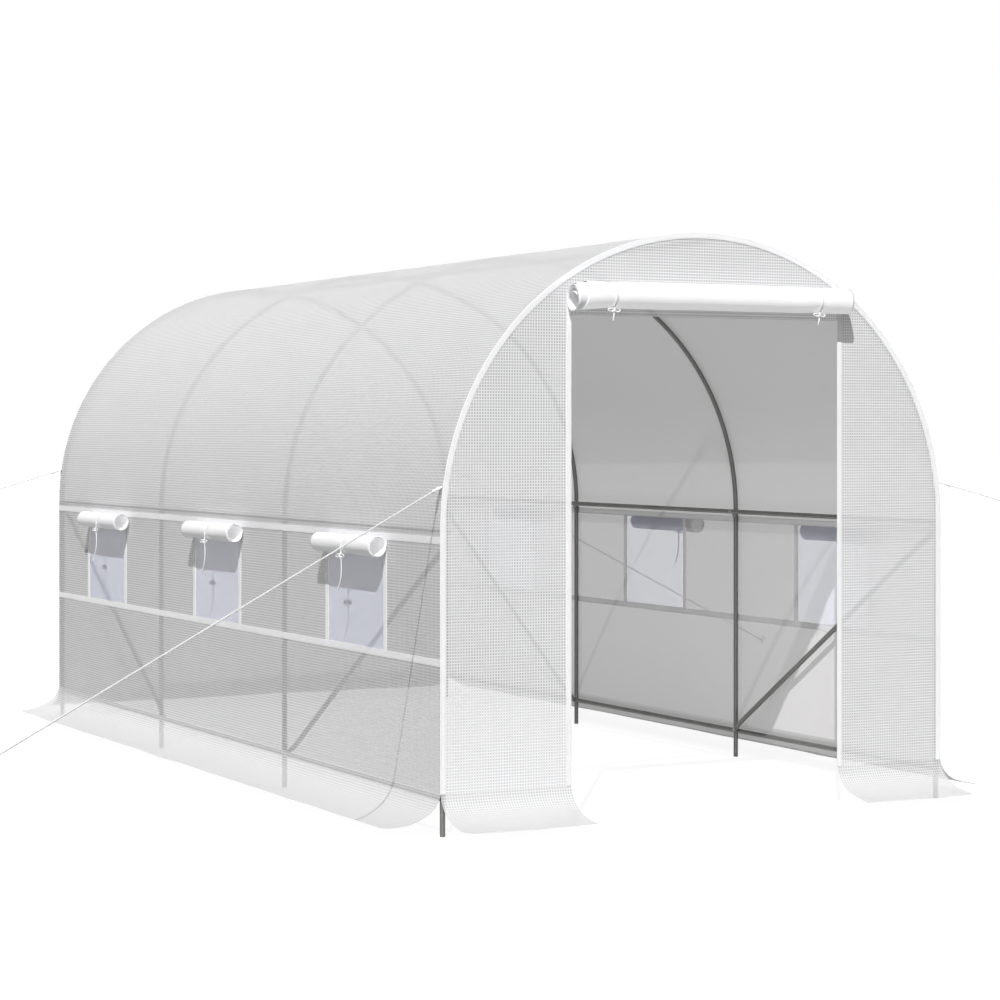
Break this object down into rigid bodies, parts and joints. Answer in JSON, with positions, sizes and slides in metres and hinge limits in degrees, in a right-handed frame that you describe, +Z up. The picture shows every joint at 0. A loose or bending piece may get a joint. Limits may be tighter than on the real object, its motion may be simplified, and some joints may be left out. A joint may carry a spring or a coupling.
{
  "type": "polytunnel greenhouse",
  "caption": "Walk-in tunnel greenhouse: half-round steel hoop frame under a white grid-reinforced film cover, with a rolled-up door, rolled window flaps, ground skirts and guy ropes.",
  "frame": {"origin": "on the ground under the middle of the tunnel", "axes": "+Z up, +Y along the tunnel to its closed rear end, +X to the right of someone who faces the doorway"},
  "size_m": [8.363, 8.071, 2],
  "materials": {
    "steel_tube": "satin",
    "peg_steel": "satin",
    "cover_film": "satin",
    "skirt_film": "satin",
    "rolled_film": "satin",
    "window_mesh": "matte",
    "tie_tape": "matte",
    "rope": "matte"
  },
  "bodies": {
    "root": {"door_roll": "rolled_film", "door_ties": "tie_tape", "front_gable": "cover_film", "front_left_panel": "cover_film", "front_left_rope": "rope", "front_left_skirt": "skirt_film", "front_right_panel": "cover_film", "front_right_rope": "rope", "front_right_skirt": "skirt_film", "ground_pegs": "peg_steel", "hoop_1": "steel_tube", "hoop_2": "steel_tube", "hoop_3": "steel_tube", "hoop_4": "steel_tube", "left_front_brace": "steel_tube", "left_legs": "steel_tube", "left_purlin": "steel_tube", "left_rail": "steel_tube", "left_rear_brace": "steel_tube", "left_skirt": "skirt_film", "left_tie_tail_1": "tie_tape", "left_tie_tail_2": "tie_tape", "left_tie_tail_3": "tie_tape", "left_wall": "cover_film", "left_window_flaps": "rolled_film", "left_window_meshes": "window_mesh", "left_window_ties": "tie_tape", "rear_left_rope": "rope", "rear_right_rope": "rope", "rear_skirt": "skirt_film", "rear_wall": "cover_film", "ridge_purlin": "steel_tube", "right_front_brace": "steel_tube", "right_legs": "steel_tube", "right_purlin": "steel_tube", "right_rail": "steel_tube", "right_rear_brace": "steel_tube", "right_skirt": "skirt_film", "right_tie_tail_1": "tie_tape", "right_tie_tail_2": "tie_tape", "right_tie_tail_3": "tie_tape", "right_wall": "cover_film", "right_window_flaps": "rolled_film", "right_window_meshes": "window_mesh", "right_window_ties": "tie_tape", "roof_1": "cover_film", "roof_2": "cover_film", "roof_3": "cover_film", "roof_4": "cover_film", "roof_5": "cover_film", "roof_6": "cover_film"}
  },
  "joints": []
}
